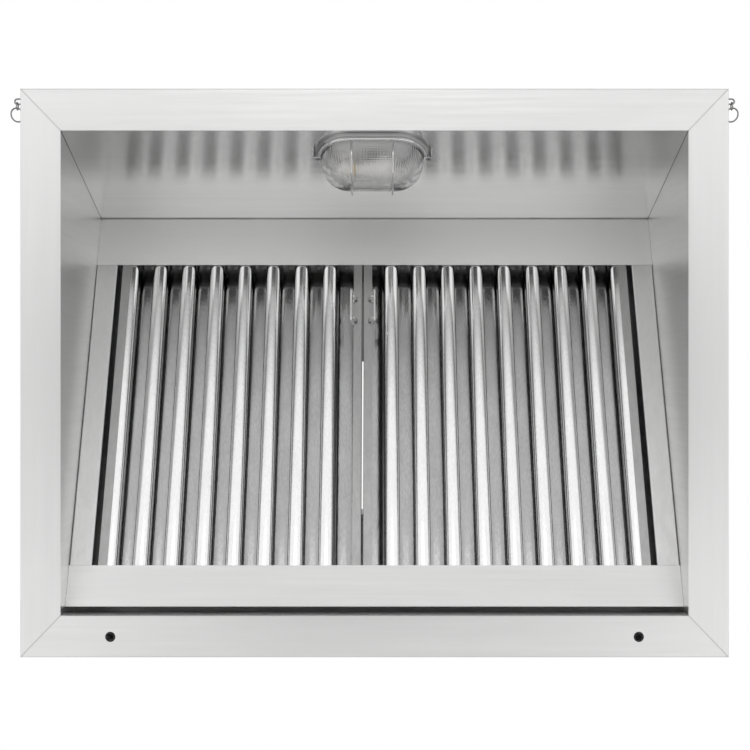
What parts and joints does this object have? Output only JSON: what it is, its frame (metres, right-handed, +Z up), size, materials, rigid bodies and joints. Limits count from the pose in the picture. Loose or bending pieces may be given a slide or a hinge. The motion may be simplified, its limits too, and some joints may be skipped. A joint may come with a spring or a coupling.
{
  "type": "commercial canopy hood",
  "caption": "Stainless canopy exhaust hood for a wall, with a gutter rim, a sloping rack of lift-out baffle filters with bail handles, a guarded lamp and a duct collar.",
  "frame": {"origin": "centre of the rim's underside, the hood's lowest face as it hangs", "axes": "+X to the right seen from in front, +Y towards the wall, +Z up towards the duct"},
  "size_m": [0.9598, 0.734, 0.5065],
  "materials": {
    "rim_steel": "grained stainless steel",
    "panel_steel": "grained stainless steel, duller inside the canopy",
    "channel_steel": "folded stainless steel",
    "collar_steel": "zinc coated",
    "filter_rail_steel": "satin stainless steel",
    "baffle_steel": "bright rolled stainless steel",
    "fastener_steel": "plain stainless steel",
    "handle_wire": "polished",
    "hanger_wire": "bright plated",
    "drain_plastic": "black moulded",
    "lamp_casting": "cast, matt",
    "lamp_seal": "matt black",
    "lamp_glass": "clear pressed glass, fluted and waffled",
    "lamp_chrome": "bright plated",
    "lamp_ceramic": "white glazed",
    "bulb_glass": "opal",
    "bulb_brass": "bright",
    "box_casting": "cast, matt",
    "gland_plastic": "black moulded"
  },
  "bodies": {
    "hood": {"rim_front": "rim_steel", "rim_left": "rim_steel", "rim_right": "rim_steel", "rim_rear_gutter": "rim_steel", "drain_bushes": "drain_plastic", "front_panel": "panel_steel", "left_side_panel": "panel_steel", "right_side_panel": "panel_steel", "rear_panel": "panel_steel", "top_panel": "panel_steel", "duct_collar": "collar_steel", "collar_screws": "fastener_steel", "lower_filter_channel": "channel_steel", "upper_filter_channel": "channel_steel", "left_filter_ledge": "channel_steel", "right_filter_ledge": "channel_steel", "lamp_base": "lamp_casting", "lamp_gasket": "lamp_seal", "lamp_globe": "lamp_glass", "lamp_guard": "lamp_chrome", "lamp_clips": "lamp_chrome", "lamp_clip_screws": "lamp_chrome", "lamp_holder": "lamp_ceramic", "bulb_cap": "bulb_brass", "bulb": "bulb_glass", "wiring_box": "box_casting", "wiring_box_cover": "box_casting", "cover_screws": "fastener_steel", "conduit_nipple": "fastener_steel", "cable_gland": "gland_plastic", "left_hanger_eye": "hanger_wire", "right_hanger_eye": "hanger_wire", "hanger_rivets": "fastener_steel", "rim_screws": "fastener_steel"},
    "left_filter": {"left_filter_top_rail": "filter_rail_steel", "left_filter_bottom_rail": "filter_rail_steel", "left_filter_outer_rail": "filter_rail_steel", "left_filter_inner_rail": "filter_rail_steel", "left_filter_front_baffles": "baffle_steel", "left_filter_rear_baffles": "baffle_steel", "left_filter_rivets": "fastener_steel", "left_handle_lugs": "filter_rail_steel"},
    "left_filter_handle": {"left_filter_handle": "handle_wire"},
    "left_hanger_link": {"left_hanger_link": "hanger_wire"},
    "left_hanger_ring": {"left_hanger_ring": "hanger_wire"},
    "right_filter": {"right_filter_top_rail": "filter_rail_steel", "right_filter_bottom_rail": "filter_rail_steel", "right_filter_outer_rail": "filter_rail_steel", "right_filter_inner_rail": "filter_rail_steel", "right_filter_front_baffles": "baffle_steel", "right_filter_rear_baffles": "baffle_steel", "right_filter_rivets": "fastener_steel", "right_handle_lugs": "filter_rail_steel"},
    "right_filter_handle": {"right_filter_handle": "handle_wire"},
    "right_hanger_link": {"right_hanger_link": "hanger_wire"},
    "right_hanger_ring": {"right_hanger_ring": "hanger_wire"}
  },
  "joints": [
    {"name": "left_filter_lift", "type": "slide", "parent": "hood", "child": "left_filter", "axis": [0, -0.9361, 0.3518], "range_m": [0, 0.038]},
    {"name": "left_handle_hinge", "type": "hinge", "parent": "left_filter", "child": "left_filter_handle", "pos_m": [-0.0301, -0.09129, 0.17013], "axis": [0, 0.9361, -0.3518], "range_deg": [-10, 78]},
    {"name": "left_link_hinge", "type": "hinge", "parent": "hood", "child": "left_hanger_link", "pos_m": [-0.4725, -0.3556, 0.038], "axis": [1, 0, 0], "range_deg": [-90, 90]},
    {"name": "left_ring_roll", "type": "hinge", "parent": "left_hanger_link", "child": "left_hanger_ring", "pos_m": [-0.4725, -0.3413, 0.038], "axis": [0, 1, 0], "range_deg": [0, 90]},
    {"name": "right_filter_lift", "type": "slide", "parent": "hood", "child": "right_filter", "axis": [0, -0.9361, 0.3518], "range_m": [0, 0.038]},
    {"name": "right_handle_hinge", "type": "hinge", "parent": "right_filter", "child": "right_filter_handle", "pos_m": [-0.0035, -0.09129, 0.17013], "axis": [0, -0.9361, 0.3518], "range_deg": [-10, 78]},
    {"name": "right_link_hinge", "type": "hinge", "parent": "hood", "child": "right_hanger_link", "pos_m": [0.4725, -0.3556, 0.038], "axis": [1, 0, 0], "range_deg": [-90, 90]},
    {"name": "right_ring_roll", "type": "hinge", "parent": "right_hanger_link", "child": "right_hanger_ring", "pos_m": [0.4725, -0.3413, 0.038], "axis": [0, 1, 0], "range_deg": [-90, 0]}
  ]
}
